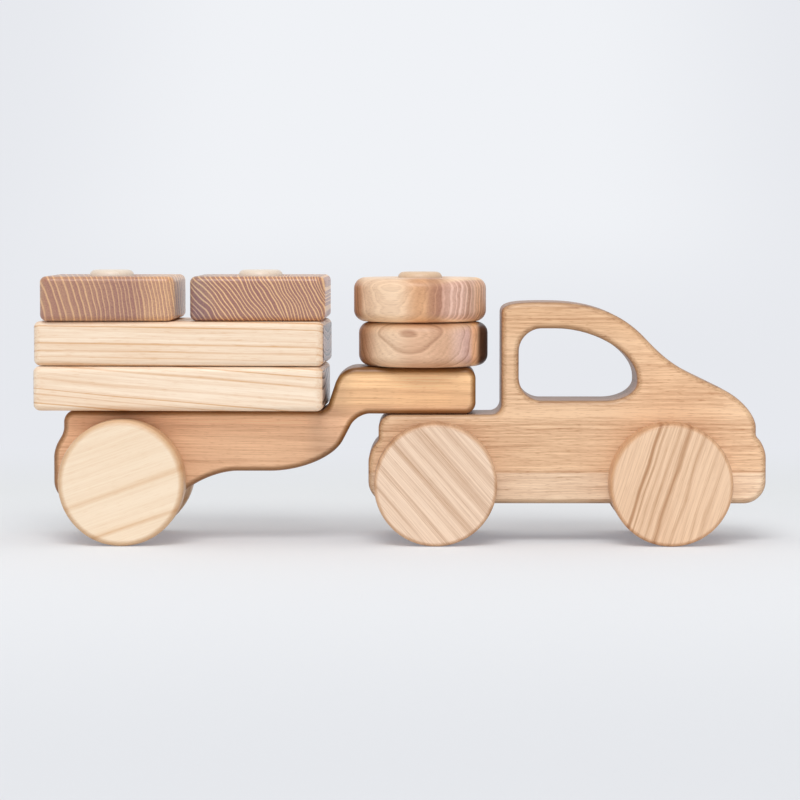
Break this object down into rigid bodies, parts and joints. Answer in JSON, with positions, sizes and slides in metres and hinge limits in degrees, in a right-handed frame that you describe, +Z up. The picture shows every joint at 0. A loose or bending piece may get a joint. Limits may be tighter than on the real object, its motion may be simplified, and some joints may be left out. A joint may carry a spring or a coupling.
{
  "type": "wooden stacking truck",
  "caption": "Wooden pickup truck with a gooseneck trailer that swings on a hitch peg, and bars, square blocks and discs that lift off round pegs.",
  "frame": {"origin": "on the floor under the middle of the whole toy, truck and trailer in line", "axes": "+X towards the front of the truck, +Y to its left, +Z up"},
  "size_m": [0.3596, 0.08, 0.1341],
  "materials": {
    "honey_wood": "satin oil",
    "russet_wood": "satin oil",
    "cream_wood": "satin oil",
    "mauve_wood": "satin oil",
    "golden_wood": "satin oil",
    "wheel_wood": "satin oil",
    "dowel_wood": "satin oil"
  },
  "bodies": {
    "truck": {"truck_body": "honey_wood", "hitch_peg": "dowel_wood"},
    "front_wheelset": {"truck_front_axle": "dowel_wood", "truck_front_wheel_left": "wheel_wood", "truck_front_wheel_right": "wheel_wood"},
    "rear_wheelset": {"truck_rear_axle": "dowel_wood", "truck_rear_wheel_left": "wheel_wood", "truck_rear_wheel_right": "wheel_wood"},
    "trailer": {"trailer_body": "russet_wood", "load_peg_rear": "dowel_wood", "load_peg_front": "dowel_wood"},
    "trailer_wheelset": {"trailer_axle": "dowel_wood", "trailer_wheel_left": "wheel_wood", "trailer_wheel_right": "wheel_wood"},
    "lower_bar": {"lower_bar": "cream_wood"},
    "upper_bar": {"upper_bar": "cream_wood"},
    "rear_square_block": {"rear_square_block": "mauve_wood"},
    "front_square_block": {"front_square_block": "mauve_wood"},
    "lower_disc": {"lower_disc": "golden_wood"},
    "upper_disc": {"upper_disc": "golden_wood"}
  },
  "joints": [
    {"name": "front_wheels_roll", "type": "hinge", "parent": "truck", "child": "front_wheelset", "pos_m": [0.13181, 0, 0.03], "axis": [0, 1, 0], "continuous": true},
    {"name": "rear_wheels_roll", "type": "hinge", "parent": "truck", "child": "rear_wheelset", "pos_m": [0.01701, 0, 0.03], "axis": [0, 1, 0], "continuous": true},
    {"name": "trailer_swing", "type": "hinge", "parent": "truck", "child": "trailer", "pos_m": [0.00941, 0, 0.0751], "axis": [0, 0, 1], "range_deg": [-45, 45]},
    {"name": "trailer_wheels_roll", "type": "hinge", "parent": "trailer", "child": "trailer_wheelset", "pos_m": [-0.13619, 0, 0.0308], "axis": [0, 1, 0], "continuous": true},
    {"name": "lower_bar_lift", "type": "slide", "parent": "trailer", "child": "lower_bar", "axis": [0, 0, 1], "range_m": [0, 0.07]},
    {"name": "upper_bar_lift", "type": "slide", "parent": "lower_bar", "child": "upper_bar", "axis": [0, 0, 1], "range_m": [0, 0.048]},
    {"name": "rear_square_lift", "type": "slide", "parent": "upper_bar", "child": "rear_square_block", "axis": [0, 0, 1], "range_m": [0, 0.026]},
    {"name": "front_square_lift", "type": "slide", "parent": "upper_bar", "child": "front_square_block", "axis": [0, 0, 1], "range_m": [0, 0.026]},
    {"name": "lower_disc_lift", "type": "slide", "parent": "truck", "child": "lower_disc", "axis": [0, 0, 1], "range_m": [0, 0.048]},
    {"name": "upper_disc_lift", "type": "slide", "parent": "lower_disc", "child": "upper_disc", "axis": [0, 0, 1], "range_m": [0, 0.026]}
  ]
}
